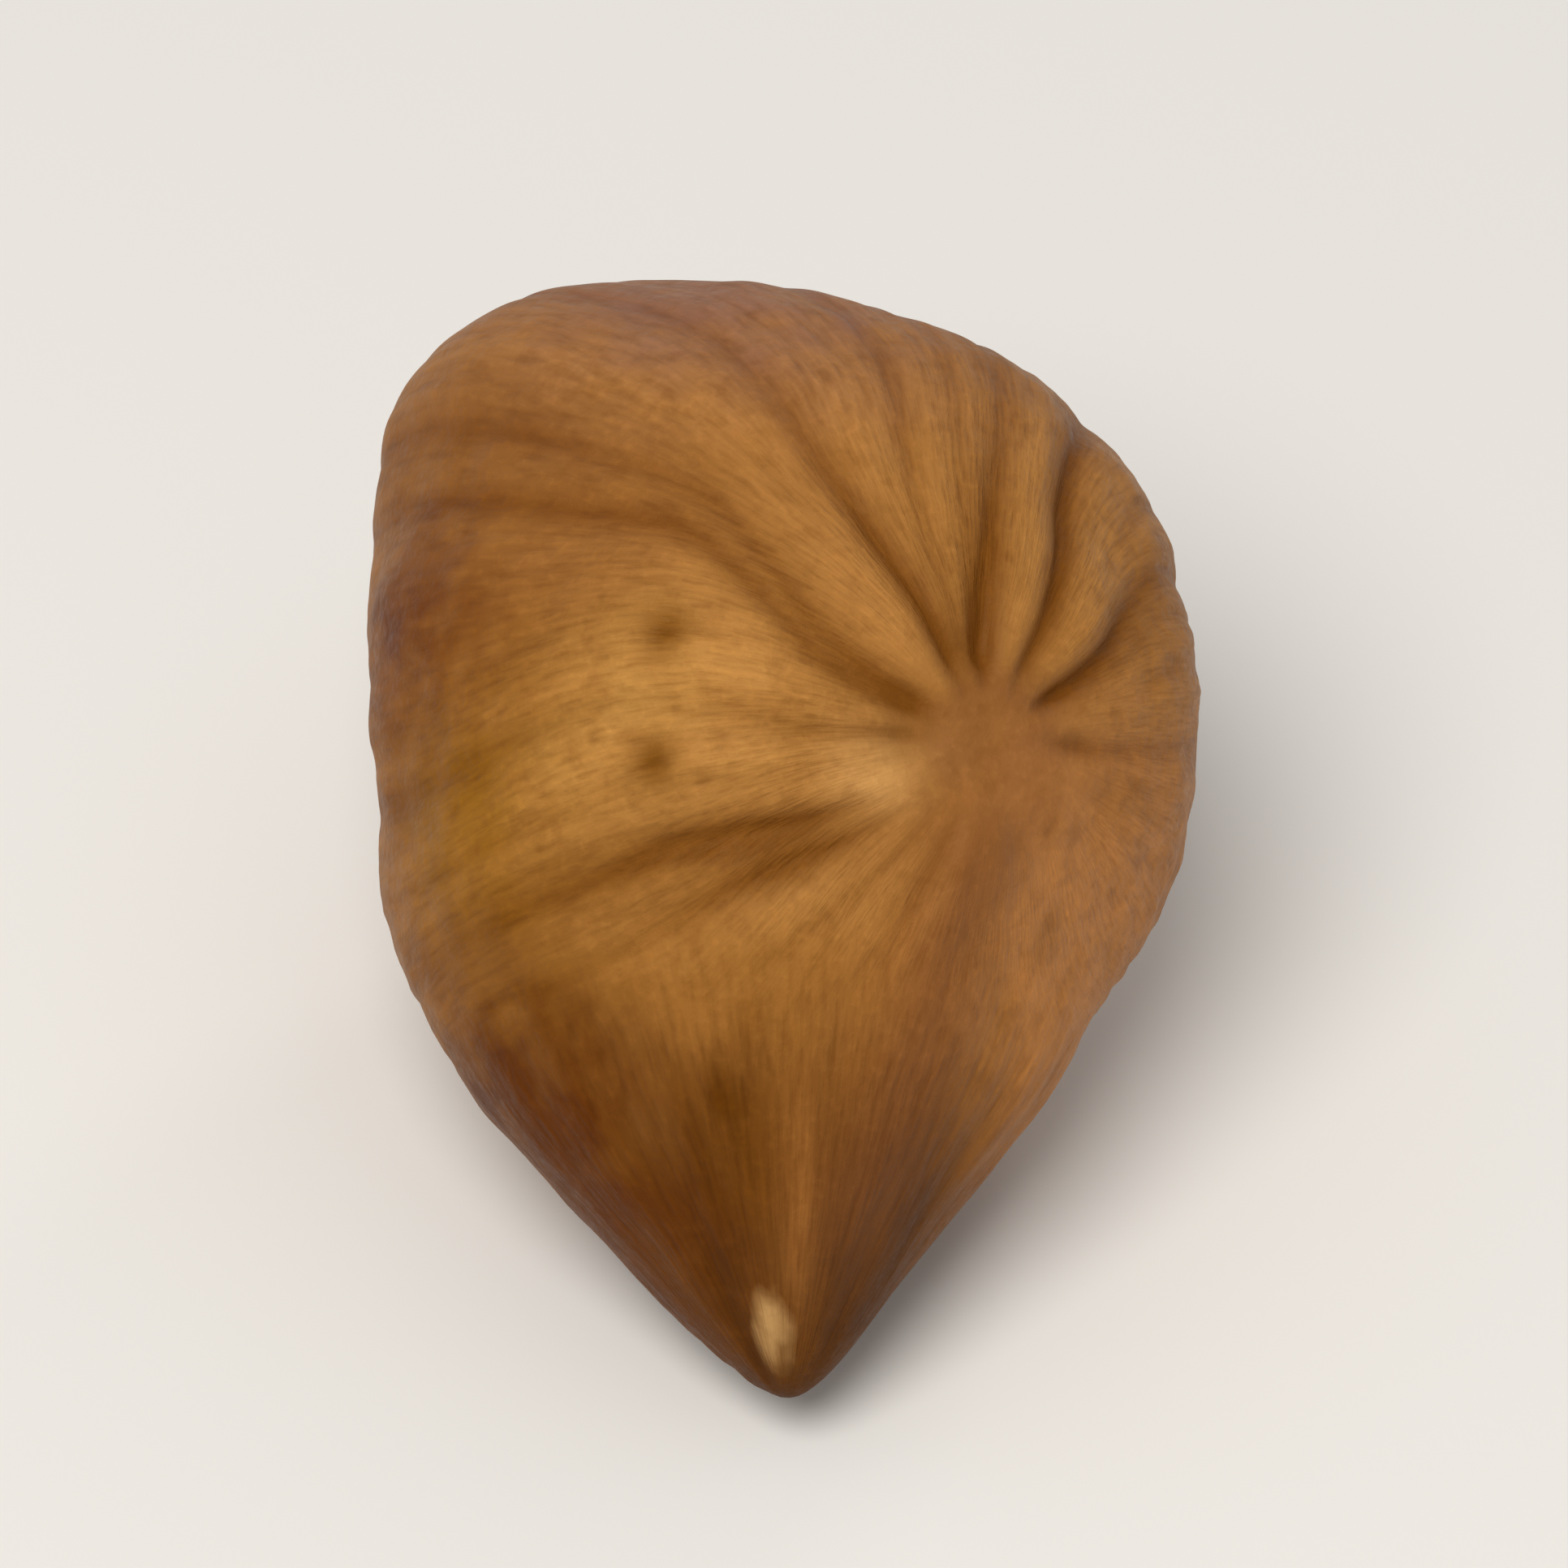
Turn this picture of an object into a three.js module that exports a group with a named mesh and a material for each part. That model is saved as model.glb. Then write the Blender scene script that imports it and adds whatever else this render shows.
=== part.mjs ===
// A shelled hazelnut kernel in its brown skin, grown as one piece. It lies on its side with its tip
// towards -Y. Millimetres, +Z up. The origin is on the flat spot that the kernel rests on.
//
// In the kernel's own axes X runs across it, -Y points to the tip and +Z is the side that lies uppermost.
// Its skin is veined. The veins spread from one point on the upper side, the chalaza, and run round the
// kernel to its underside. A low seam, the raphe, joins the chalaza to the tip.
import * as THREE from "three";
import { mergeVertices } from "three/addons/utils/BufferGeometryUtils.js";

const { clamp, degToRad, lerp, smoothstep } = THREE.MathUtils;

// The round body, the cone that draws it out to the tip, and how the kernel lies.
const WIDTH = 11.4;
const BODY_LENGTH = 12.5;
const DEPTH = 10.8;
const TIP_HALF_ANGLE = degToRad(39);
const TIP_ROUNDING = degToRad(2.5);
const LEAN = degToRad(28);
const CENTRE_HEIGHT = 5.5;

// Swellings and hollows that make the body uneven: where they are, their height, and how far they spread.
const SWELLINGS = [
  { name: "left shoulder", at: [-0.68, 0.73, 0.0], height: 1.4, spread: 0.1 },
  { name: "flattened crown", at: [0.17, 0.98, 0.05], height: -0.35, spread: 0.06 },
  { name: "heel", at: [0.05, 0.25, -0.97], height: 0.5, spread: 0.16 },
  { name: "left flank", at: [-0.66, -0.75, 0.0], height: 0.75, spread: 0.12 },
  { name: "flat cheek", at: [0.68, -0.62, 0.39], height: -0.3, spread: 0.07 },
].map((swelling) => ({ ...swelling, at: new THREE.Vector3(...swelling.at).normalize() }));

// The chalaza, the place on the underside where the veins end, and the raphe.
const CHALAZA = new THREE.Vector3(0.508, -0.296, 0.809).normalize();
const VEIN_END = new THREE.Vector3(0, -0.342, -0.94).normalize();
const DIMPLE_DEPTH = 0.2;
const DIMPLE_RADIUS = 0.9;
const RAPHE_HEIGHT = 0.12;
const RAPHE_WIDTH = 0.7;

// The main veins: the turn in degrees at which each one leaves the chalaza, the turn at which it runs on
// further out, and how strong it is. The shortest way to the underside is at 0, the kernel's left side at
// about 130 and its crown at about 210. Two veins only come as near to the chalaza as a certain pole angle.
const HOOK = 2.7;
const MAIN_VEINS = [
  { leaves: 20, runsAt: 20, strength: 0.15 },
  { leaves: 45, runsAt: 45, strength: 0.25 },
  { leaves: 64, runsAt: 67, strength: 0.4 },
  { leaves: 77, runsAt: 87, strength: 0.55 },
  { leaves: 90, runsAt: 105, strength: 1.0, to: HOOK },
  { leaves: 101, runsAt: 115, strength: 1.25, to: HOOK },
  { leaves: 116, runsAt: 125, strength: 0.5 },
  { leaves: 129, runsAt: 137, strength: 0.8 },
  { leaves: 145, runsAt: 165, strength: 1.0 },
  { leaves: 152, runsAt: 171, strength: 1.1 },
  { leaves: 187, runsAt: 186, strength: 1.0 },
  { leaves: 198, runsAt: 200, strength: 0.6 },
  { leaves: 208, runsAt: 209, strength: 0.6 },
  { leaves: 215, runsAt: 218, strength: 1.3 },
  { leaves: 243, runsAt: 235, strength: 1.25 },
  { leaves: 272, runsAt: 261, strength: 1.2 },
  { leaves: 302, runsAt: 297, strength: 0.6 },
  { leaves: 328, runsAt: 325, strength: 0.25 },
].map(({ leaves, runsAt, strength, to = Math.PI }) => ({
  leaves: degToRad(leaves),
  runsAt: degToRad(runsAt),
  strength,
  from: 0,
  to,
}));
const VEIN_DEPTH = 0.2;
const VEIN_WIDTH = 0.3;

// Between these pole angles a vein bends from the turn that it runs on at to the one that it leaves at.
const BEND_START = 2.2;
const BEND_END = 2.85;

// Veins are shallower where they draw together, which is where a radian of turn is shorter than this, and
// far from the chalaza: between these angles from it their depth falls to a share.
const FULL_ROOM = 2.4;
const DEEP_REACH = degToRad(30);
const SHALLOW_REACH = degToRad(80);
const FAR_SHARE = 0.85;

// A branch runs between two neighbours for as long as they are further apart than the widest gap.
const WIDEST_GAP = 1.7;
const BRANCHINGS = 2;
const BRANCH_STRENGTH = 0.5;
const BRANCH_OFFSET = 0.3;
const BRANCH_FADE = 0.25;

// The veins sway and waver in depth as they run. Rounds is how often a guess at the sway is bettered.
const SWAYS = [
  { size: 0.05, round: 2, along: 3.3 },
  { size: 0.03, round: 5, along: -4.6 },
];
const WAVER = { size: 0.3, round: 9, along: 3.7 };
const SWAY_ROUNDS = 20;

// The skin lies smooth on the flat spot and takes up its relief around it.
const SMOOTH_SEAT = degToRad(14);
const VEINED_SEAT = degToRad(32);

// The facets: rows from the underside to the chalaza, and columns between one vein and the next.
const ROWS = 60;
const COLUMN_WIDTH = 0.55;
const FEWEST_COLUMNS = 2;
const MOST_COLUMNS = 4;
const WELD_DISTANCE = 1e-4;

const ACROSS = new THREE.Vector3(1, 0, 0);
const TIP = new THREE.Vector3(0, -1, 0);
const DOWN = new THREE.Vector3(0, -Math.sin(LEAN), -Math.cos(LEAN));
const FLANK_START = Math.PI / 2 - TIP_HALF_ANGLE;
const FULL_TURN = 2 * Math.PI;
const GOLDEN_RATIO = (1 + Math.sqrt(5)) / 2;

// The pole angle runs from 0 where the veins end to pi at the chalaza, and the turn runs round them.
const SPREAD = CHALAZA.angleTo(VEIN_END);
const ENDWARDS = VEIN_END.clone().addScaledVector(CHALAZA, -VEIN_END.dot(CHALAZA)).normalize();
const SIDEWAYS = ENDWARDS.clone().cross(CHALAZA);

// The raphe follows the great circle through the chalaza and the tip, about the middle of the two.
const RAPHE_NORMAL = CHALAZA.clone().cross(TIP).normalize();
const RAPHE_MIDDLE = CHALAZA.clone().add(TIP).normalize();
const RAPHE_REACH = RAPHE_MIDDLE.angleTo(TIP);

// A repeatable draw from -0.5 to 0.5 for each whole number, spread by the golden ratio.
function draw(n) {
  return ((n * GOLDEN_RATIO) % 1) - 0.5;
}

// Where a pole angle and a turn are on the plane that the unit sphere maps to, seen from the chalaza.
function planePoint(pole, turn) {
  const reach = Math.tan(pole / 2) / Math.sin(SPREAD / 2);
  const x = 1 / Math.tan(SPREAD / 2) + reach * Math.cos(turn);
  const y = reach * Math.sin(turn);
  return { reach, x, y, square: x * x + y * y };
}

function directionOf(pole, turn) {
  const { x, y, square } = planePoint(pole, turn + sway(pole, turn));
  return new THREE.Vector3()
    .addScaledVector(ENDWARDS, 2 * x)
    .addScaledVector(SIDEWAYS, 2 * y)
    .addScaledVector(CHALAZA, square - 1)
    .divideScalar(square + 1);
}

function sway(pole, turn) {
  let offset = 0;
  for (const { size, round, along } of SWAYS) {
    offset += size * Math.sin(round * turn + along * pole);
  }
  return offset * Math.sin(pole);
}

// The pole angle and the turn of a direction. The sway is small, so repeated rounds undo it.
function skinCoordinates(direction) {
  const lift = 1 - direction.dot(CHALAZA);
  const x = direction.dot(ENDWARDS) / lift - 1 / Math.tan(SPREAD / 2);
  const y = direction.dot(SIDEWAYS) / lift;
  const pole = 2 * Math.atan(Math.hypot(x, y) * Math.sin(SPREAD / 2));
  const bearing = Math.atan2(y, x);
  let turn = bearing;
  for (let round = 0; round < SWAY_ROUNDS; round++) {
    turn = bearing - sway(pole, turn);
  }
  return { pole, turn: (turn + FULL_TURN) % FULL_TURN };
}

// Millimetres of skin for each radian of turn, at the body's mean radius.
function millimetresPerRadian(pole, turn) {
  const { reach, square } = planePoint(pole, turn);
  return (WIDTH * reach) / (square + 1);
}

function turnsApart(a, b) {
  return Math.abs(((a - b + 3 * Math.PI) % FULL_TURN) - Math.PI);
}

// The turn of a vein at one place along it, and how much further round the next vein is there.
function veinTurn({ leaves, runsAt }, pole) {
  return lerp(runsAt, leaves, smoothstep(pole, BEND_START, BEND_END));
}

function gapBetween(vein, next, pole) {
  return (veinTurn(next, pole) - veinTurn(vein, pole) + FULL_TURN) % FULL_TURN;
}

// How far the smooth body reaches from its centre in one direction.
function bodyRadius(direction) {
  const { x, y, z } = direction;
  const round = 1 / Math.hypot(x / (WIDTH / 2), y / (BODY_LENGTH / 2), z / (DEPTH / 2));
  const fromTip = Math.hypot(direction.angleTo(TIP), TIP_ROUNDING);
  let radius = round / Math.cos(Math.max(0, FLANK_START - fromTip));
  for (const { at, height, spread } of SWELLINGS) {
    radius += height * Math.exp((direction.dot(at) - 1) / spread);
  }
  return radius;
}

// The main veins and their branches, in order of turn.
function growVeins() {
  const veins = [...MAIN_VEINS];
  const poles = Array.from({ length: ROWS }, (_, row) => (row / ROWS) * Math.PI);
  for (let pass = 1; pass <= BRANCHINGS; pass++) {
    const branches = [];
    veins.forEach((vein, i) => {
      const next = veins[(i + 1) % veins.length];
      const share = 0.5 + BRANCH_OFFSET * draw(pass * veins.length + i);
      const leaves = vein.leaves + share * gapBetween(vein, next, BEND_END);
      const runsAt = vein.runsAt + share * gapBetween(vein, next, BEND_START);
      const gapWidth = (pole) => millimetresPerRadian(pole, runsAt) * gapBetween(vein, next, pole);
      const wide = poles.filter((pole) => gapWidth(pole) > WIDEST_GAP);
      if (wide.length) {
        const strength = BRANCH_STRENGTH * vein.strength;
        branches.push({ leaves, runsAt, strength, from: wide.at(0), to: wide.at(-1) });
      }
    });
    veins.push(...branches);
    veins.sort((a, b) => a.runsAt - b.runsAt);
  }
  return veins;
}

const VEINS = growVeins();

// The depth of a vein at one place along it.
function veinDepth({ runsAt, from, to, strength }, pole, scale) {
  const begun = smoothstep(pole, from - BRANCH_FADE, from + BRANCH_FADE);
  const ended = smoothstep(pole, to - BRANCH_FADE, to + BRANCH_FADE);
  const room = smoothstep(scale, 0, FULL_ROOM);
  const waver = 1 + WAVER.size * Math.sin(WAVER.round * runsAt + WAVER.along * pole);
  return VEIN_DEPTH * strength * begun * (1 - ended) * room * waver;
}

// How far the skin stands out from the smooth body.
function reliefAt(pole, turn, direction) {
  const scale = millimetresPerRadian(pole, turn);
  const fromChalaza = direction.angleTo(CHALAZA);
  const reach = lerp(1, FAR_SHARE, smoothstep(fromChalaza, DEEP_REACH, SHALLOW_REACH));
  let relief = 0;
  for (const vein of VEINS) {
    const apart = turnsApart(turn, veinTurn(vein, pole)) * scale;
    relief -= reach * veinDepth(vein, pole, scale) * Math.exp(-apart / VEIN_WIDTH);
  }
  const offRaphe = Math.asin(direction.dot(RAPHE_NORMAL)) * (WIDTH / 2);
  const onRaphe = 1 - smoothstep(direction.angleTo(RAPHE_MIDDLE), RAPHE_REACH / 2, RAPHE_REACH);
  relief += RAPHE_HEIGHT * onRaphe * Math.exp(-((offRaphe / RAPHE_WIDTH) ** 2));
  relief -= DIMPLE_DEPTH * Math.exp(-(((fromChalaza * WIDTH) / 2 / DIMPLE_RADIUS) ** 2));
  return relief * smoothstep(direction.angleTo(DOWN), SMOOTH_SEAT, VEINED_SEAT);
}

// The column lines follow the veins, so that each furrow has vertices along its bottom. One more runs
// through the tip. Each line keeps its share of the way from one vein to the next.
function columnLines(tip) {
  const lines = [];
  VEINS.forEach((vein, i) => {
    const next = VEINS[(i + 1) % VEINS.length];
    const gap = gapBetween(vein, next, Math.PI / 2);
    const width = gap * millimetresPerRadian(Math.PI / 2, vein.runsAt + gap / 2);
    const steps = clamp(Math.round(width / COLUMN_WIDTH), FEWEST_COLUMNS, MOST_COLUMNS);
    const shares = Array.from({ length: steps }, (_, step) => step / steps);
    const toTip = (tip.turn - veinTurn(vein, tip.pole) + FULL_TURN) % FULL_TURN;
    if (toTip < gapBetween(vein, next, tip.pole)) {
      shares.push(toTip / gapBetween(vein, next, tip.pole));
    }
    shares.sort((a, b) => a - b);
    lines.push(...shares.map((share) => ({ vein, next, share })));
  });
  return [...lines, lines[0]];
}

// The rows are evenly spaced, apart from the one nearest to the tip, which is moved to run through it.
function rowPoles(tipPole) {
  const poles = Array.from({ length: ROWS + 1 }, (_, row) => (row / ROWS) * Math.PI);
  poles[Math.round((tipPole / Math.PI) * ROWS)] = tipPole;
  return poles;
}

// A sphere whose poles are slid to the chalaza and the underside, and whose vertices are moved out to the
// skin. Those that would come out under the floor are pressed up to it, which leaves the flat spot.
function kernelGeometry() {
  const tip = skinCoordinates(TIP);
  const lines = columnLines(tip);
  const poles = rowPoles(tip.pole);
  const geometry = new THREE.SphereGeometry(1, lines.length - 1, ROWS);
  geometry.deleteAttribute("normal");
  geometry.deleteAttribute("uv");
  const { position } = geometry.attributes;
  for (let i = 0; i < position.count; i++) {
    const { vein, next, share } = lines[i % lines.length];
    const pole = poles[Math.floor(i / lines.length)];
    const turn = veinTurn(vein, pole) + share * gapBetween(vein, next, pole);
    const direction = directionOf(pole, turn);
    const radius = bodyRadius(direction) + reliefAt(pole, turn, direction);
    const { x, y, z } = direction.multiplyScalar(radius).applyAxisAngle(ACROSS, LEAN);
    position.setXYZ(i, x, y, Math.max(0, CENTRE_HEIGHT + z));
  }
  const welded = mergeVertices(geometry, WELD_DISTANCE);
  welded.computeVertexNormals();
  return welded;
}

const skin = new THREE.MeshStandardMaterial({ name: "skin", color: 0x96602e, roughness: 0.55, metalness: 0 });
const kernel = new THREE.Mesh(kernelGeometry(), skin);
kernel.name = "kernel";

const hazelnut = new THREE.Group();
hazelnut.name = "hazelnut";
hazelnut.add(kernel);

export default hazelnut;
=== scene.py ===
# A shelled hazelnut kernel in its brown skin, lying on its side on a pale floor. Metres, +Z up.
#
# The skin follows the same rules as the kernel's solid, on a finer mesh. It has one more round of branches,
# furrows that are softer far from the chalaza, and fine relief that the solid leaves out. In the kernel's
# own axes X runs across it, -Y points to the tip and +Z is the side that lies uppermost. The veins spread
# from one point on the upper side, the chalaza, and run round the kernel to its underside. A low seam, the
# raphe, joins the chalaza to the tip.
import math

import bmesh
import bpy
import numpy as np
from mathutils import Color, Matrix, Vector, noise


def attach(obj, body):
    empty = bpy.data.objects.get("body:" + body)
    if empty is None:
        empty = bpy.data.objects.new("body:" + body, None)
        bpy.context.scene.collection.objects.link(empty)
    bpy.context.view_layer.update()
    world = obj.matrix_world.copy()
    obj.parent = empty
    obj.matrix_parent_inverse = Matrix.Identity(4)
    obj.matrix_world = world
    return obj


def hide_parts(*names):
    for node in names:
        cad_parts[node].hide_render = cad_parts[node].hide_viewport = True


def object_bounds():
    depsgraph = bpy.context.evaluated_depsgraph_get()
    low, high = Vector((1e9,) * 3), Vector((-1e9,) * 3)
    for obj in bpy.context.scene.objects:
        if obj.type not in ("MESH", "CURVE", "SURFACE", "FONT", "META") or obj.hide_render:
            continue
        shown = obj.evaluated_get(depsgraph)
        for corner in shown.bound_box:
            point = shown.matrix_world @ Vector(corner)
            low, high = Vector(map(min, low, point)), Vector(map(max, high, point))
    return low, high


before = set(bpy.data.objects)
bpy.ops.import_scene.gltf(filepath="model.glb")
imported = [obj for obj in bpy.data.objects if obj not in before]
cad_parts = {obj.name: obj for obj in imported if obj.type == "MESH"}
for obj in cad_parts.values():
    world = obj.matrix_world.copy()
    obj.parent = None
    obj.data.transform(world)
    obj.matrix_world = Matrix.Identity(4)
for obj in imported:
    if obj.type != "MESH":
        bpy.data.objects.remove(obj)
cad_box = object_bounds()

MM = 0.001
FULL_TURN = 2 * math.pi
GOLDEN_RATIO = (1 + math.sqrt(5)) / 2


def unit(x, y, z):
    return np.array((x, y, z)) / math.hypot(x, y, z)


def srgb(red, green, blue):
    """A colour given as it shows on a screen, from 0 to 255, as the shaders take it."""
    return (*Color((red / 255, green / 255, blue / 255)).from_srgb_to_scene_linear(), 1)


# The round body, the cone that draws it out to the tip, and how the kernel lies.
WIDTH = 11.4 * MM
BODY_LENGTH = 12.5 * MM
DEPTH = 10.8 * MM
TIP_HALF_ANGLE = math.radians(39)
TIP_ROUNDING = math.radians(2.5)
LEAN = math.radians(28)
CENTRE_HEIGHT = 5.5 * MM

# Swellings and hollows that make the body uneven: where they are, their height, and how far they spread.
SWELLINGS = {
    "left shoulder": (unit(-0.68, 0.73, 0.0), 1.4 * MM, 0.1),
    "flattened crown": (unit(0.17, 0.98, 0.05), -0.35 * MM, 0.06),
    "heel": (unit(0.05, 0.25, -0.97), 0.5 * MM, 0.16),
    "left flank": (unit(-0.66, -0.75, 0.0), 0.75 * MM, 0.12),
    "flat cheek": (unit(0.68, -0.62, 0.39), -0.3 * MM, 0.07),
}

# The chalaza, the place on the underside where the veins end, and the raphe.
CHALAZA = unit(0.508, -0.296, 0.809)
VEIN_END = unit(0, -0.342, -0.94)
DIMPLE_DEPTH = 0.26 * MM
DIMPLE_RADIUS = 1.0 * MM
RAPHE_HEIGHT = 0.12 * MM
RAPHE_WIDTH = 0.7 * MM

# The main veins: the turn in degrees at which each one leaves the chalaza, the turn at which it runs on
# further out, how strong it is, and the pole angle at which it starts. The shortest way to the underside is
# at 0, the kernel's left side at about 130 and its crown at about 210.
AT_CHALAZA = math.pi
AT_HOOK = 2.7
MAIN_VEINS = (
    (20, 20, 0.15, AT_CHALAZA),
    (45, 45, 0.25, AT_CHALAZA),
    (64, 67, 0.4, AT_CHALAZA),
    (77, 87, 0.55, AT_CHALAZA),
    (90, 105, 1.0, AT_HOOK),
    (101, 115, 1.25, AT_HOOK),
    (116, 125, 0.5, AT_CHALAZA),
    (129, 137, 0.8, AT_CHALAZA),
    (145, 165, 1.0, AT_CHALAZA),
    (152, 171, 1.1, AT_CHALAZA),
    (187, 186, 1.0, AT_CHALAZA),
    (198, 200, 0.6, AT_CHALAZA),
    (208, 209, 0.6, AT_CHALAZA),
    (215, 218, 1.3, AT_CHALAZA),
    (243, 235, 1.25, AT_CHALAZA),
    (272, 261, 1.2, AT_CHALAZA),
    (302, 297, 0.6, AT_CHALAZA),
    (328, 325, 0.25, AT_CHALAZA),
)
VEIN_DEPTH = 0.2 * MM
VEIN_WIDTH = 0.26 * MM
VEIN_BOTTOM = 0.08 * MM
# The width of the crests beside the furrows, which are coloured lighter as a painted highlight.
CREST_HIGHLIGHT_WIDTH = 0.7 * MM

# Between these pole angles a vein bends from the turn that it runs on at to the one that it leaves at.
BEND_START = 2.2
BEND_END = 2.85

# Veins start out and widen where they draw apart, so as a radian of turn grows longer. Between these angles
# from the chalaza their depth falls to one share, and the strength of their colours, the painted shade in the
# furrows and the painted highlight on the crests, to another.
DEPTH_ROOM = (0.45 * MM, 1.6 * MM)
FULL_WIDTH_ROOM = 4.0 * MM
DEEP_REACH = math.radians(30)
SHALLOW_REACH = math.radians(80)
FAR_SHARE = 0.45
FAR_SHADE = 0.6

# A branch runs between two neighbours for as long as they are further apart than the widest gap. The
# first two rounds of branching are those of the solid, made weaker.
BRANCHINGS = (1.7 * MM, 1.7 * MM, 0.9 * MM)
BRANCH_STRENGTH = 0.35
BRANCH_OFFSET = 0.3
BRANCH_FADE = 0.25
BRANCH_STEPS = 60

# The veins sway and waver in depth as they run: size, waves round the kernel, radians along the vein.
# Rounds is how often a guess at the sway is bettered. The lift keeps clear of a division by nothing at the
# chalaza itself.
SWAYS = ((0.05, 2, 3.3), (0.03, 5, -4.6))
SWAY_ROUNDS = 20
SMALLEST_LIFT = 1e-9
WAVER = (0.3, 9, 3.7)

# The skin lies smooth on the flat spot and takes up its relief around it.
SMOOTH_SEAT = math.radians(14)
VEINED_SEAT = math.radians(32)

# Fine wrinkles along the veins, which die out around the chalaza, and shallow lumps.
WRINKLE_HEIGHT = 0.03 * MM
WRINKLES_ROUND = 12
WRINKLES_ALONG = 2.4
WRINKLE_ROOM = (0.8 * MM, 3.0 * MM)
LUMP_HEIGHT = 0.14 * MM
LUMPS_ACROSS = 2.2

# Creases and fine lines run up from the tip, in place of the veins. They start, and give way to the veins,
# at these angles from it. The skin is coloured darker nearer to the tip, partly its own colour and partly
# painted shade.
CREASE_HEIGHT = 0.1 * MM
CREASES_ROUND = 2.6
TIP_LINES_ROUND = 6
TIP_LINE_STRETCH = 0.4
CREASE_START = math.radians(5)
TIP_LINE_START = math.radians(18)
CREASE_FADE = (math.radians(30), math.radians(52))
TIP_DARK_AND_PAINTED_SHADE_FADE = (math.radians(12), math.radians(44))

# The ragged scar of the root tip, a knob beside the chalaza, and two pits further off.
SCAR = unit(-0.025, -0.994, 0.105)
SCAR_WIDTH = 0.17 * MM
SCAR_LENGTH = 0.28 * MM
SCAR_HEIGHT = 0.05 * MM
SCAR_RAGGEDNESS = 0.6
SCAR_GRAIN = 32
KNOB = unit(0.199, -0.384, 0.902)
KNOB_RADIUS = 0.6 * MM
KNOB_HEIGHT = 0.1 * MM
PITS = (unit(-0.31, -0.05, 0.95), unit(-0.339, -0.365, 0.867))
PIT_RADIUS = 0.38 * MM
PIT_DEPTH = 0.08 * MM

# The noise that wrinkles, lumps, creases and ragged edges are made of.
NOISE_ROUGHNESS = 1.0
NOISE_STEP = 2.0
NOISE_LAYERS = 3

# The colours of the skin. Those of the fibres and flecks multiply the colour that they lie on.
STREAK_DARK = srgb(126, 76, 22)
STREAK_LIGHT = srgb(166, 110, 50)
SMOOTH_SKIN = srgb(126, 79, 42)
BLOTCH = srgb(148, 96, 40)
SPECK = srgb(112, 64, 20)
# Near the tip the skin is coloured darker, partly its own colour and partly painted shade.
CREASE_DARK_AND_SHADE = srgb(78, 40, 0)
CREASE_LIGHT_AND_SHADE = srgb(112, 64, 8)
RAPHE_COLOUR = srgb(122, 74, 38)
# The furrows are coloured darker as painted shade.
FURROW_SHADE_COLOUR = srgb(104, 56, 0)
# The crests are coloured lighter as a painted highlight.
CREST_HIGHLIGHT_COLOUR = srgb(188, 132, 68)
# The pits are coloured darker as painted shade.
PIT_SHADE_COLOUR = srgb(116, 70, 14)
SCAR_COLOUR = srgb(184, 142, 88)
GLOSS_TINT = srgb(255, 216, 166)
DARK_FIBRE = (0.7, 0.62, 0.5, 1)
LIGHT_FIBRE = (1.2, 1.2, 1.2, 1)
FLECK = (1.25, 1.28, 1.35, 1)

# The patches: where each one is, its half width, its half length on the way to the tip, and its colour.
# Besides the skin's own colour, the lighter flank holds a painted highlight, the crown and the cheek a
# painted sheen, and the shoulder a painted shadow; the darker flank lower down and the dark places beside the
# tip are partly painted shade.
PATCHES = {
    # A lighter tan on the flank, partly a painted highlight.
    "tan flank and painted highlight": (unit(-0.35, -0.38, 0.86), 2.4 * MM, 2.4 * MM, srgb(180, 130, 64)),
    "pale knob": (KNOB, 0.7 * MM, 0.7 * MM, srgb(208, 156, 92)),
    "olive patch": (unit(-0.77, -0.43, 0.47), 1.6 * MM, 2.2 * MM, srgb(136, 90, 0)),
    # A pinkish tone on the crown, partly a painted sheen.
    "pink crown and painted sheen": (unit(-0.1, 0.93, 0.35), 3.4 * MM, 3.4 * MM, srgb(138, 95, 74)),
    # A pinkish tone on the right cheek, partly a painted sheen.
    "pink cheek and painted sheen": (unit(0.72, -0.6, 0.34), 2.8 * MM, 2.8 * MM, srgb(182, 120, 62)),
    # A painted shadow along the left shoulder.
    "shoulder painted shadow": (unit(-0.87, 0.22, 0.46), 2.4 * MM, 2.4 * MM, srgb(96, 44, 0)),
    "brown band": (unit(-0.46, 0.22, 0.86), 1.6 * MM, 0.8 * MM, srgb(128, 78, 34)),
    # A darker brown on the lower left flank, partly painted shade.
    "brown flank and painted shade": (unit(-0.5, -0.85, 0.17), 2.2 * MM, 2.8 * MM, srgb(88, 42, 0)),
    "brown middle": (unit(-0.15, -0.72, 0.68), 1.2 * MM, 0.8 * MM, srgb(144, 94, 38)),
    # Darker places on either side of the tip, partly painted shade.
    "dark and painted shade right of the tip": (unit(0.14, -0.972, 0.19), 0.9 * MM, 1.4 * MM, srgb(56, 26, 0)),
    "dark and painted shade left of the tip": (unit(-0.121, -0.922, 0.367), 0.4 * MM, 0.7 * MM, srgb(90, 48, 0)),
    "light streak": (unit(0.016, -0.955, 0.3), 0.22 * MM, 1.0 * MM, srgb(140, 88, 36)),
}
PATCH_RAGGEDNESS = 0.5
PATCH_GRAIN = 8.0
PATCH_STREAKS = 0.35

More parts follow.
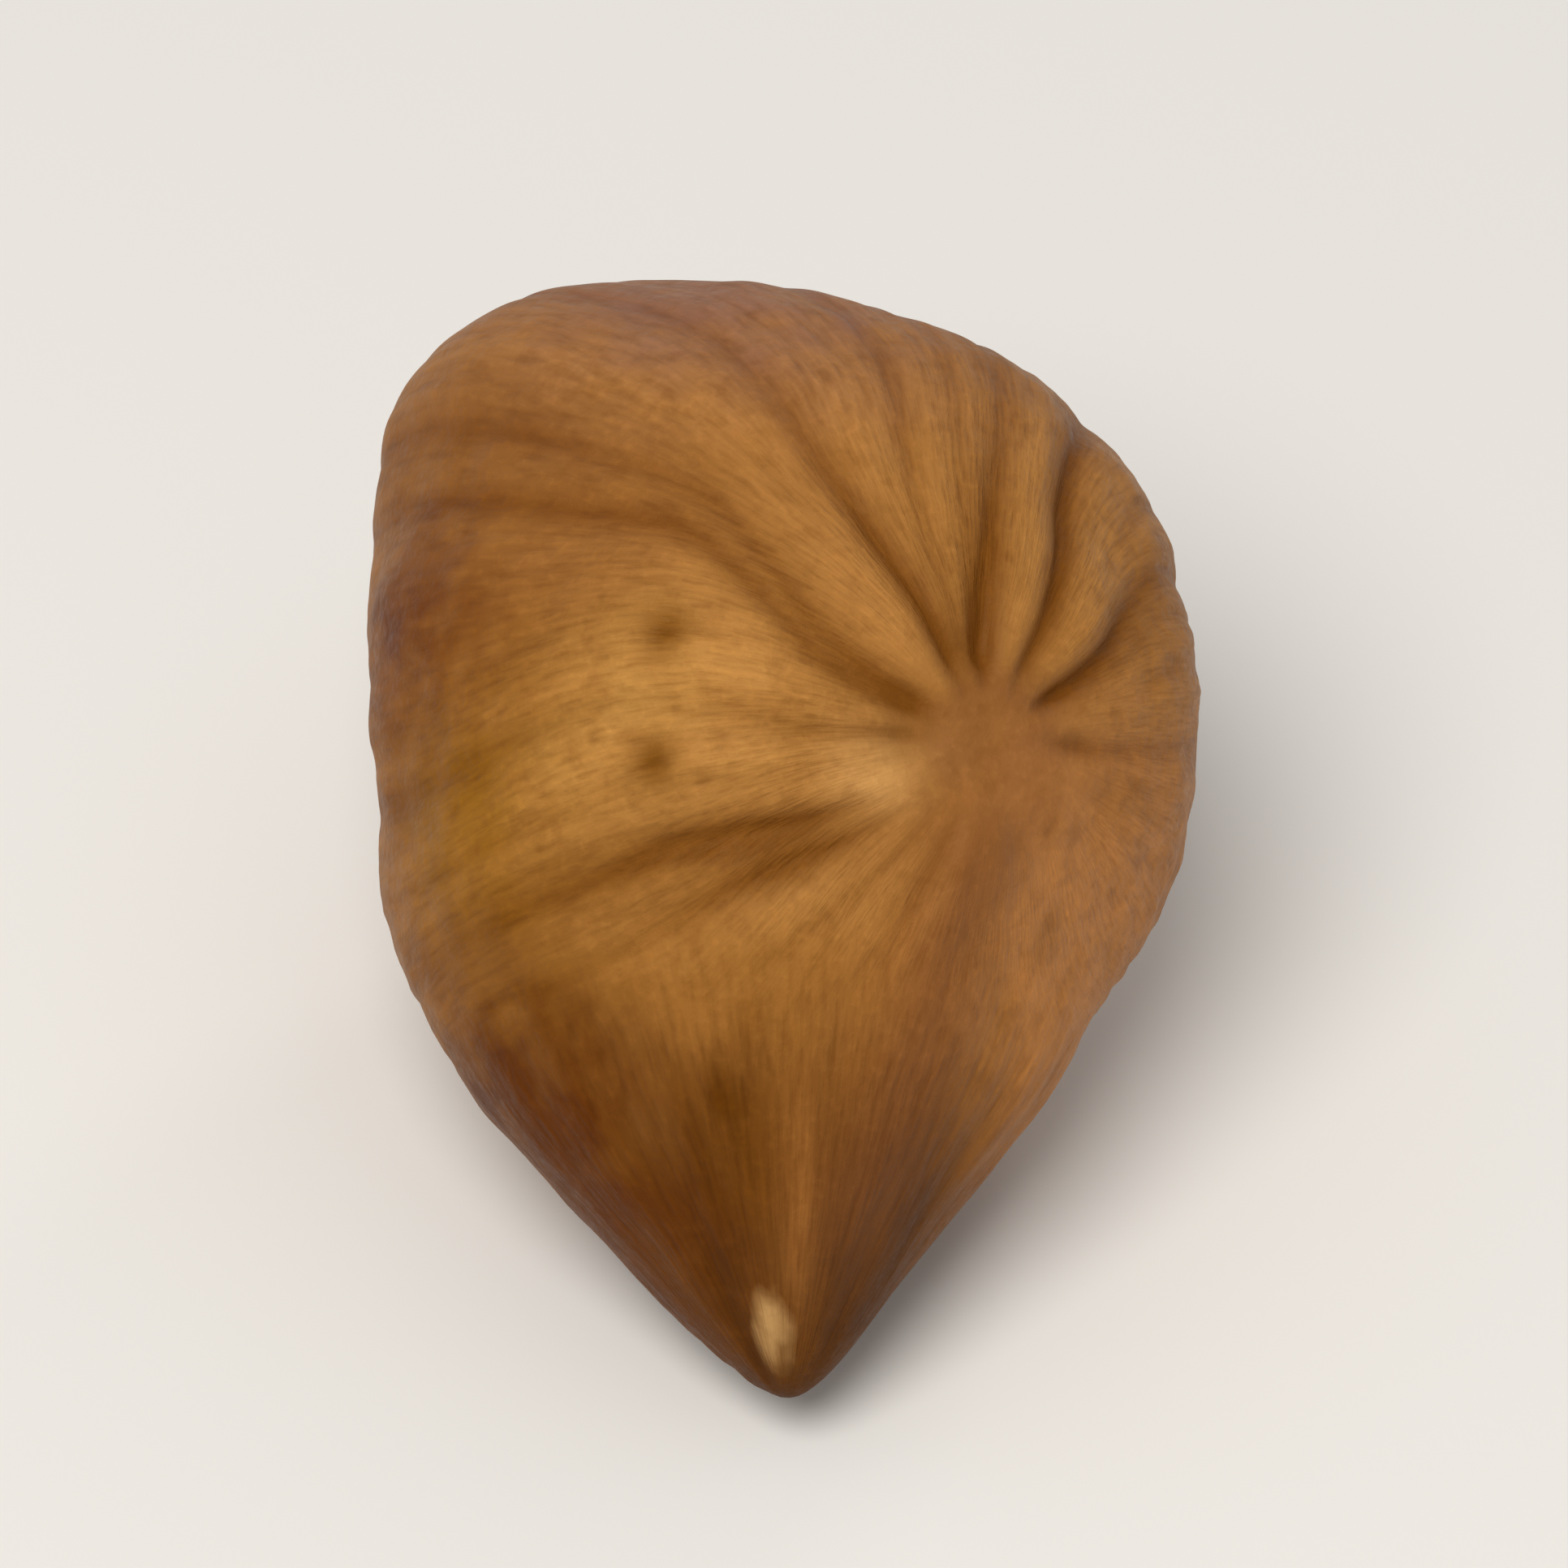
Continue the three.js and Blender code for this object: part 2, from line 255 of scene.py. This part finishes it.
# How much of each mark there has to be for it to begin to show and for it to show in full, and the share of
# its colour that it then takes.
STREAK_SPAN = (0.3, 0.7)
BLOTCH_SPAN = (0.4, 0.7)
SPECK_SPAN = (0.5, 0.8)
SPECK_SHARE = 0.4
DARK_FIBRE_SPAN = (0.5, 0.3)
LIGHT_FIBRE_SPAN = (0.5, 0.7)
FIBRE_SHARE = 0.55
FLECK_SPAN = (0.5, 0.75)
FLECK_SHARE = 0.5
SCAR_SPAN = (0.2, 1.0)
CREASE_SPAN = (-0.35, 0.35)
FURROW_SHADE_SPAN = (0.2, 1.3)
FURROW_SHADE_SHARE = 0.85
CREST_HIGHLIGHT_SPAN = (0.2, 1.0)
CREST_HIGHLIGHT_SHARE = 0.8
RAPHE_SHARE = 0.7
WHOLE_SPAN = (0.0, 1.0)

# The scale and the detail of the textures. Those of streaks and fibres are counted along the skin's own
# coordinates, and the others in each metre.
STREAK_TEXTURE = (1.2, 7.0)
FIBRE_TEXTURE = (5.0, 5.0)
BLOTCH_TEXTURE = (500.0, 4.0)
SPECK_TEXTURE = (3000.0, 4.0)
SCURF_TEXTURE = (7000.0, 3.0)

# The surface of the skin: a faint gloss, which the scurf breaks up, and bumps too fine for the mesh.
GLOSS = 0.16
SCURF_SPAN = (0.3, 0.7)
SMOOTHEST = 0.42
ROUGHEST = 0.58
FIBRE_BUMP_STRENGTH = 0.6
FIBRE_BUMP_HEIGHT = 0.06 * MM
SCURF_BUMP_STRENGTH = 0.5
SCURF_BUMP_HEIGHT = 0.04 * MM

# The cuts along each edge of the cube that the mesh is blown up from.
GRID_CUTS = 127

# The floor, the lights and the camera. Each light has a place seen from the kernel's middle, a size, a power
# in watts and a colour.
FLOOR_RADIUS = 0.8
FLOOR_SIDES = 96
FLOOR_COLOUR = (0.8, 0.79, 0.77, 1)
FLOOR_ROUGHNESS = 0.7
LIGHTS = {
    "key": (Vector((-0.042, -0.075, 0.155)), 0.12, 0.24, (1.0, 0.97, 0.92)),
    "rim": (Vector((0.08, 0.13, 0.09)), 0.04, 0.024, (1.0, 0.98, 0.96)),
}
WORLD_COLOUR = (1.0, 0.98, 0.95, 1)
WORLD_STRENGTH = 0.45
CAMERA_ELEVATION = math.radians(45)
CAMERA_DISTANCE = 0.15
CAMERA_LENS = 250
CAMERA_CLIP = 0.01

TIP = unit(0, -1, 0)
DOWN = unit(0, -math.sin(LEAN), -math.cos(LEAN))
FLANK_START = math.pi / 2 - TIP_HALF_ANGLE
SPREAD = math.acos(CHALAZA @ VEIN_END)
ENDWARDS = unit(*(VEIN_END - (VEIN_END @ CHALAZA) * CHALAZA))
SIDEWAYS = np.cross(ENDWARDS, CHALAZA)
RAPHE_NORMAL = unit(*np.cross(CHALAZA, TIP))
RAPHE_MIDDLE = unit(*(CHALAZA + TIP))
RAPHE_REACH = math.acos(RAPHE_MIDDLE @ TIP)


def smoothstep(value, low, high):
    t = np.clip((value - low) / (high - low), 0, 1)
    return t * t * (3 - 2 * t)


def angle_from(directions, axis):
    return np.arccos(np.clip(directions @ axis, -1, 1))


def turns_apart(a, b):
    return np.abs((a - b + math.pi) % FULL_TURN - math.pi)


def sway(pole, turn):
    return np.sin(pole) * sum(size * np.sin(waves * turn + along * pole) for size, waves, along in SWAYS)


def skin_scale(pole, turn):
    """Metres of skin for each radian of turn, at the body's mean radius."""
    reach = np.tan(pole / 2) / math.sin(SPREAD / 2)
    x = 1 / math.tan(SPREAD / 2) + reach * np.cos(turn)
    y = reach * np.sin(turn)
    return WIDTH * reach / (x * x + y * y + 1)


def skin_coordinates(directions):
    """The pole angle, from 0 where the veins end to pi at the chalaza, and the turn of the veins."""
    lift = np.maximum(1 - directions @ CHALAZA, SMALLEST_LIFT)
    x = directions @ ENDWARDS / lift - 1 / math.tan(SPREAD / 2)
    y = directions @ SIDEWAYS / lift
    pole = 2 * np.arctan(np.hypot(x, y) * math.sin(SPREAD / 2))
    bearing = np.arctan2(y, x)
    turn = bearing
    for _ in range(SWAY_ROUNDS):
        turn = bearing - sway(pole, turn)
    return pole, turn % FULL_TURN


def body_radius(directions):
    """How far the smooth body reaches from its centre in each direction."""
    half_axes = np.array((WIDTH, BODY_LENGTH, DEPTH)) / 2
    around = 1 / np.linalg.norm(directions / half_axes, axis=1)
    from_tip = np.hypot(angle_from(directions, TIP), TIP_ROUNDING)
    radius = around / np.cos(np.maximum(0, FLANK_START - from_tip))
    for at, height, spread in SWELLINGS.values():
        radius += height * np.exp((directions @ at - 1) / spread)
    return radius


def draw(n):
    """A repeatable draw from -0.5 to 0.5 for each whole number, spread by the golden ratio."""
    return (n * GOLDEN_RATIO) % 1 - 0.5


def bent(runs_at, leaves, pole):
    """The turn of a vein at each pole angle."""
    return runs_at + (leaves - runs_at) * smoothstep(pole, BEND_START, BEND_END)


def grow_veins():
    """The main veins and their branches in order of turn: turn further out, turn at the chalaza, strength,
    and the pole angles between which each one runs."""
    veins = [
        (math.radians(runs_at), math.radians(leaves), strength, 0, end)
        for leaves, runs_at, strength, end in MAIN_VEINS
    ]
    poles = np.arange(BRANCH_STEPS) / BRANCH_STEPS * math.pi
    for number, widest_gap in enumerate(BRANCHINGS, start=1):
        branches = []
        for i, (runs_at, leaves, strength, _, _) in enumerate(veins):
            next_runs_at, next_leaves, *_ = veins[(i + 1) % len(veins)]
            share = 0.5 + BRANCH_OFFSET * draw(number * len(veins) + i)
            gap = (next_runs_at - runs_at) % FULL_TURN
            gap_at_chalaza = (next_leaves - leaves) % FULL_TURN
            middle = runs_at + share * gap
            gap_widths = skin_scale(poles, middle) * bent(gap, gap_at_chalaza, poles)
            wide = poles[gap_widths > widest_gap]
            if len(wide):
                middle_at_chalaza = leaves + share * gap_at_chalaza
                branches.append((middle, middle_at_chalaza, BRANCH_STRENGTH * strength, wide[0], wide[-1]))
        veins = sorted(veins + branches)
    return veins


def furrows(pole, turn, width):
    """How much of a furrow there is at each place. Strong veins have wider furrows."""
    scale = skin_scale(pole, turn)
    room = smoothstep(scale, *DEPTH_ROOM)
    widths = width * np.minimum(1, scale / FULL_WIDTH_ROOM)
    size, waves, along = WAVER
    furrow = np.zeros_like(pole)
    for runs_at, leaves, strength, start, end in grow_veins():
        begun = smoothstep(pole, start - BRANCH_FADE, start + BRANCH_FADE)
        ended = smoothstep(pole, end - BRANCH_FADE, end + BRANCH_FADE)
        waver = 1 + size * np.sin(waves * runs_at + along * pole)
        apart = np.hypot(turns_apart(turn, bent(runs_at, leaves, pole)) * scale, VEIN_BOTTOM)
        section = np.exp((VEIN_BOTTOM - apart) / (widths * math.sqrt(strength) + VEIN_BOTTOM))
        furrow += strength * begun * (1 - ended) * room * waver * section
    return furrow


def raphe_ridge(directions):
    """The seam along the great circle through the chalaza and the tip."""
    across = np.arcsin(directions @ RAPHE_NORMAL) * WIDTH / 2
    present = 1 - smoothstep(angle_from(directions, RAPHE_MIDDLE), RAPHE_REACH / 2, RAPHE_REACH)
    return present * np.exp(-((across / RAPHE_WIDTH) ** 2))


def noise_at(points):
    settings = (NOISE_ROUGHNESS, NOISE_STEP, NOISE_LAYERS)
    return np.array([noise.fractal(Vector(point), *settings) for point in points])


def near_tip(directions, fade):
    """One at the tip, down to nothing between the two angles from it."""
    return 1 - smoothstep(angle_from(directions, TIP), *fade)


def tip_vectors(directions):
    """Coordinates for textures that run up from the tip and close up all the way round it."""
    round_tip = np.arctan2(directions[:, 0], directions[:, 2])
    along = TIP_LINE_STRETCH * angle_from(directions, TIP)
    return np.stack((np.cos(round_tip), np.sin(round_tip), along), axis=1)


def grain_vectors(pole, turn):
    """Coordinates for textures that run along the veins and close up all the way round."""
    return np.stack(
        (WRINKLES_ROUND * np.cos(turn), WRINKLES_ROUND * np.sin(turn), WRINKLES_ALONG * pole), axis=1
    )


def spot(directions, at, width, length):
    """A soft spot, drawn out along the way to the tip."""
    off = angle_from(directions, at)
    across = np.arcsin(directions @ unit(*np.cross(at, TIP)))
    along_squared = np.maximum(0, off**2 - across**2)
    return np.exp(-((across * WIDTH / 2 / width) ** 2) - along_squared * (WIDTH / 2 / length) ** 2)


def sphere_mesh():
    """A cube cut into a fine grid and blown up into a ball, with cells of nearly equal size."""
    bm = bmesh.new()
    bmesh.ops.create_cube(bm, size=2)
    bmesh.ops.subdivide_edges(bm, edges=bm.edges[:], cuts=GRID_CUTS, use_grid_fill=True)
    mesh = bpy.data.meshes.new("kernel_skin")
    bm.to_mesh(mesh)
    bm.free()
    corners = np.empty(3 * len(mesh.vertices))
    mesh.vertices.foreach_get("co", corners)
    cube = np.tan(corners.reshape(-1, 3) * math.pi / 4)
    return mesh, cube / np.linalg.norm(cube, axis=1, keepdims=True)


def write_attribute(mesh, name, values):
    kind, field = ("FLOAT", "value") if values.ndim == 1 else ("FLOAT_VECTOR", "vector")
    mesh.attributes.new(name, kind, "POINT").data.foreach_set(field, values.ravel().astype(np.float32))


def place_points(mesh, directions, relief):
    """Moves the mesh out to the skin, leans the kernel over, and presses it flat where it meets the floor."""
    own = directions * (body_radius(directions) + relief)[:, None]
    y = own[:, 1] * math.cos(LEAN) - own[:, 2] * math.sin(LEAN)
    z = own[:, 1] * math.sin(LEAN) + own[:, 2] * math.cos(LEAN) + CENTRE_HEIGHT
    points = np.stack((own[:, 0], y, np.maximum(0, z)), axis=1)
    mesh.vertices.foreach_set("co", points.ravel())
    mesh.polygons.foreach_set("use_smooth", np.ones(len(mesh.polygons), dtype=bool))
    mesh.update()


def make_kernel():
    mesh, directions = sphere_mesh()
    pole, turn = skin_coordinates(directions)
    tip = near_tip(directions, CREASE_FADE)
    tip_lines = TIP_LINES_ROUND * tip_vectors(directions)
    crease = noise_at(CREASES_ROUND * tip_vectors(directions)) * (1 - near_tip(directions, (0, CREASE_START)))
    furrow = furrows(pole, turn, VEIN_WIDTH) * (1 - tip)
    # The crests beside the furrows: the mask of a painted highlight.
    crest_highlight = furrows(pole, turn, CREST_HIGHLIGHT_WIDTH) * (1 - tip) - furrow
    grain = grain_vectors(pole, turn)
    room = smoothstep(skin_scale(pole, turn), *WRINKLE_ROOM)
    tip_room = 1 - near_tip(directions, (0, TIP_LINE_START))
    wrinkle = (1 - tip) * room * noise_at(grain) + tip * tip_room * noise_at(tip_lines)
    raphe = raphe_ridge(directions)
    pit = sum(spot(directions, at, PIT_RADIUS, PIT_RADIUS) for at in PITS)
    ragged = 1 + PATCH_RAGGEDNESS * noise_at(PATCH_GRAIN * directions) + PATCH_STREAKS * wrinkle
    scar_edge = 1 + SCAR_RAGGEDNESS * noise_at(SCAR_GRAIN * directions)
    scar = spot(directions, SCAR, SCAR_WIDTH, SCAR_LENGTH) * scar_edge

    far = smoothstep(angle_from(directions, CHALAZA), DEEP_REACH, SHALLOW_REACH)
    depth = VEIN_DEPTH * (1 - far * (1 - FAR_SHARE))
    shade = 1 - far * (1 - FAR_SHADE)
    relief = RAPHE_HEIGHT * raphe - depth * furrow
    relief -= DIMPLE_DEPTH * spot(directions, CHALAZA, DIMPLE_RADIUS, DIMPLE_RADIUS) + PIT_DEPTH * pit
    relief += KNOB_HEIGHT * spot(directions, KNOB, KNOB_RADIUS, KNOB_RADIUS) + SCAR_HEIGHT * scar
    relief += WRINKLE_HEIGHT * wrinkle
    relief += LUMP_HEIGHT * noise_at(LUMPS_ACROSS * directions)
    relief += CREASE_HEIGHT * tip * crease
    relief *= smoothstep(angle_from(directions, DOWN), SMOOTH_SEAT, VEINED_SEAT)
    place_points(mesh, directions, relief)

    # Near the tip the colour is darker, partly painted shade.
    skin = {"tip": tip, "tip lines": tip_lines, "tip dark and painted shade": near_tip(directions, TIP_DARK_AND_PAINTED_SHADE_FADE)}
    skin |= {"crease": crease, "furrow": furrow * shade, "crest_highlight": crest_highlight * shade}
    skin |= {"grain": grain, "room": room, "raphe": raphe, "pit": pit, "scar": scar}
    for name, (at, width, length, _) in PATCHES.items():
        skin[name] = spot(directions, at, width, length) * ragged
    for name, values in skin.items():
        write_attribute(mesh, name, values)
    kernel = bpy.data.objects.new("kernel_skin", mesh)
    bpy.context.collection.objects.link(kernel)
    return kernel


def fill_sockets(tree, sockets, inputs):
    """Gives each socket its input, which is either another node's output or a plain value."""
    for name, value in inputs.items():
        if isinstance(value, bpy.types.NodeSocket):
            tree.links.new(value, sockets[name])
        else:
            sockets[name].default_value = value


def new_node(tree, kind, inputs, **settings):
    node = tree.nodes.new(kind)
    for name, value in settings.items():
        setattr(node, name, value)
    fill_sockets(tree, node.inputs, inputs)
    return node


def attribute(tree, name, output="Fac"):
    return new_node(tree, "ShaderNodeAttribute", {}, attribute_name=name).outputs[output]


def noise_texture(tree, vector, scale, detail):
    inputs = {"Vector": vector, "Scale": scale, "Detail": detail}
    return new_node(tree, "ShaderNodeTexNoise", inputs).outputs["Fac"]


def spread_out(tree, value, span, to_high=1.0, to_low=0.0):
    """Stretches the span of a value, so that it runs from the low end to the high one."""
    low, high = span
    inputs = {"Value": value, "From Min": low, "From Max": high, "To Min": to_low, "To Max": to_high}
    return new_node(tree, "ShaderNodeMapRange", inputs).outputs["Result"]


def mix(tree, factor, a, b, **settings):
    """The node has sockets of one name for each kind of data, and only those of its own kind are enabled."""
    node = new_node(tree, "ShaderNodeMix", {}, **settings)
    sockets = {socket.name: socket for socket in node.inputs if socket.enabled}
    fill_sockets(tree, sockets, {"Factor": factor, "A": a, "B": b})
    return next(socket for socket in node.outputs if socket.enabled)


def mix_colour(tree, factor, a, b):
    return mix(tree, factor, a, b, data_type="RGBA")


def tint(tree, factor, colour, tint_colour):
    return mix(tree, factor, colour, tint_colour, data_type="RGBA", blend_type="MULTIPLY")


def lines_texture(tree, scale, detail):
    """Lines along the veins, or up from the tip near it."""
    along_veins = noise_texture(tree, attribute(tree, "grain", "Vector"), scale, detail)
    from_tip = noise_texture(tree, attribute(tree, "tip lines", "Vector"), scale, detail)
    return mix(tree, attribute(tree, "tip"), along_veins, from_tip, data_type="FLOAT")


def skin_colour(tree, place, fibres, scurf):
    """Streaks along the veins and creases, with the tip darker, partly as painted shade; blotches and
    patches, some of them painted shade, sheen or highlight; the crests with a painted highlight, the furrows
    and pits with painted shade, and the other small marks over them; and the fibres and flecks over all."""
    streaks = spread_out(tree, lines_texture(tree, *STREAK_TEXTURE), STREAK_SPAN)
    blotches = spread_out(tree, noise_texture(tree, place, *BLOTCH_TEXTURE), BLOTCH_SPAN)
    specks = spread_out(tree, noise_texture(tree, place, *SPECK_TEXTURE), SPECK_SPAN, SPECK_SHARE)
    room = attribute(tree, "room")
    fibre_share = spread_out(tree, room, WHOLE_SPAN, FIBRE_SHARE)
    dark_fibres = spread_out(tree, fibres, DARK_FIBRE_SPAN, fibre_share)
    light_fibres = spread_out(tree, fibres, LIGHT_FIBRE_SPAN, fibre_share)
    flecks = spread_out(tree, scurf, FLECK_SPAN, FLECK_SHARE)
    scar = spread_out(tree, attribute(tree, "scar"), SCAR_SPAN)
    creases = spread_out(tree, attribute(tree, "crease"), CREASE_SPAN)
    furrow = spread_out(tree, attribute(tree, "furrow"), FURROW_SHADE_SPAN, FURROW_SHADE_SHARE)
    crest_highlight = spread_out(tree, attribute(tree, "crest_highlight"), CREST_HIGHLIGHT_SPAN, CREST_HIGHLIGHT_SHARE)
    raphe = spread_out(tree, attribute(tree, "raphe"), WHOLE_SPAN, RAPHE_SHARE)
    streaked = mix_colour(tree, streaks, STREAK_DARK, STREAK_LIGHT)
    colour = mix_colour(tree, room, SMOOTH_SKIN, streaked)
    colour = mix_colour(tree, blotches, colour, BLOTCH)
    creased_and_shaded = mix_colour(tree, creases, CREASE_DARK_AND_SHADE, CREASE_LIGHT_AND_SHADE)
    # The tip is coloured darker, partly its own colour and partly painted shade.
    colour = mix_colour(tree, attribute(tree, "tip dark and painted shade"), colour, creased_and_shaded)
    # Some of the patches hold painted shade, sheen or highlight over the skin's own colour.
    for name, (*_, patch_colour) in PATCHES.items():
        patch = spread_out(tree, attribute(tree, name), WHOLE_SPAN)
        colour = mix_colour(tree, patch, colour, patch_colour)
    colour = mix_colour(tree, raphe, colour, RAPHE_COLOUR)
    # A painted highlight on the crests.
    colour = mix_colour(tree, crest_highlight, colour, CREST_HIGHLIGHT_COLOUR)
    # Painted shade in the furrows.
    colour = mix_colour(tree, furrow, colour, FURROW_SHADE_COLOUR)
    colour = mix_colour(tree, specks, colour, SPECK)
    # Painted shade in the pits.
    colour = mix_colour(tree, attribute(tree, "pit"), colour, PIT_SHADE_COLOUR)
    colour = mix_colour(tree, scar, colour, SCAR_COLOUR)
    colour = tint(tree, dark_fibres, colour, DARK_FIBRE)
    colour = tint(tree, light_fibres, colour, LIGHT_FIBRE)
    return tint(tree, flecks, colour, FLECK)


def skin_material():
    material = bpy.data.materials.new("hazelnut_skin")
    material.use_nodes = True
    tree = material.node_tree
    shader = tree.nodes["Principled BSDF"]
    place = new_node(tree, "ShaderNodeTexCoord", {}).outputs["Object"]
    fibres = lines_texture(tree, *FIBRE_TEXTURE)
    scurf = noise_texture(tree, place, *SCURF_TEXTURE)

    fibre_strength = spread_out(tree, attribute(tree, "room"), WHOLE_SPAN, FIBRE_BUMP_STRENGTH)
    fibre_bump = {"Height": fibres, "Strength": fibre_strength, "Distance": FIBRE_BUMP_HEIGHT}
    bump = new_node(tree, "ShaderNodeBump", fibre_bump).outputs["Normal"]
    scurf_bump = {"Height": scurf, "Strength": SCURF_BUMP_STRENGTH, "Distance": SCURF_BUMP_HEIGHT}
    bump = new_node(tree, "ShaderNodeBump", scurf_bump | {"Normal": bump}).outputs["Normal"]

    surface = {"Base Color": skin_colour(tree, place, fibres, scurf), "Normal": bump}
    surface |= {"Roughness": spread_out(tree, scurf, SCURF_SPAN, ROUGHEST, SMOOTHEST)}
    surface |= {"Specular IOR Level": GLOSS, "Specular Tint": GLOSS_TINT}
    fill_sockets(tree, shader.inputs, surface)
    return material


def floor_material():
    material = bpy.data.materials.new("pale_floor")
    material.use_nodes = True
    shader = material.node_tree.nodes["Principled BSDF"]
    shader.inputs["Base Color"].default_value = FLOOR_COLOUR
    shader.inputs["Roughness"].default_value = FLOOR_ROUGHNESS
    return material


def make_floor():
    bpy.ops.mesh.primitive_circle_add(vertices=FLOOR_SIDES, radius=FLOOR_RADIUS, fill_type="NGON")
    floor = bpy.context.object
    floor.name = "floor"
    floor.data.materials.append(floor_material())
    return floor


def aim(obj, target):
    obj.rotation_euler = (target - obj.location).to_track_quat("-Z", "Y").to_euler()


def make_light(name, location, target, size, power, colour):
    light = bpy.data.lights.new(name, "AREA")
    light.shape = "DISK"
    light.size = size
    light.energy = power
    light.color = colour
    lamp = bpy.data.objects.new(name, light)
    lamp.location = location
    bpy.context.collection.objects.link(lamp)
    aim(lamp, target)


def make_camera(target):
    data = bpy.data.cameras.new("camera")
    data.lens = CAMERA_LENS
    data.clip_start = CAMERA_CLIP
    camera = bpy.data.objects.new("camera", data)
    back = Vector((0, -math.cos(CAMERA_ELEVATION), math.sin(CAMERA_ELEVATION)))
    camera.location = target + CAMERA_DISTANCE * back
    bpy.context.collection.objects.link(camera)
    aim(camera, target)
    bpy.context.scene.camera = camera


def make_world():
    world = bpy.data.worlds.new("studio")
    world.use_nodes = True
    background = world.node_tree.nodes["Background"]
    background.inputs["Color"].default_value = WORLD_COLOUR
    background.inputs["Strength"].default_value = WORLD_STRENGTH
    bpy.context.scene.world = world


kernel = make_kernel()
kernel.data.materials.append(skin_material())
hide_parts("kernel")
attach(kernel, "root")
make_floor()

middle = (cad_box[0] + cad_box[1]) / 2
make_camera(middle)
for name, (place, size, power, colour) in LIGHTS.items():
    make_light(name, middle + place, middle, size, power, colour)
make_world()
bpy.context.scene.view_settings.view_transform = "Standard"
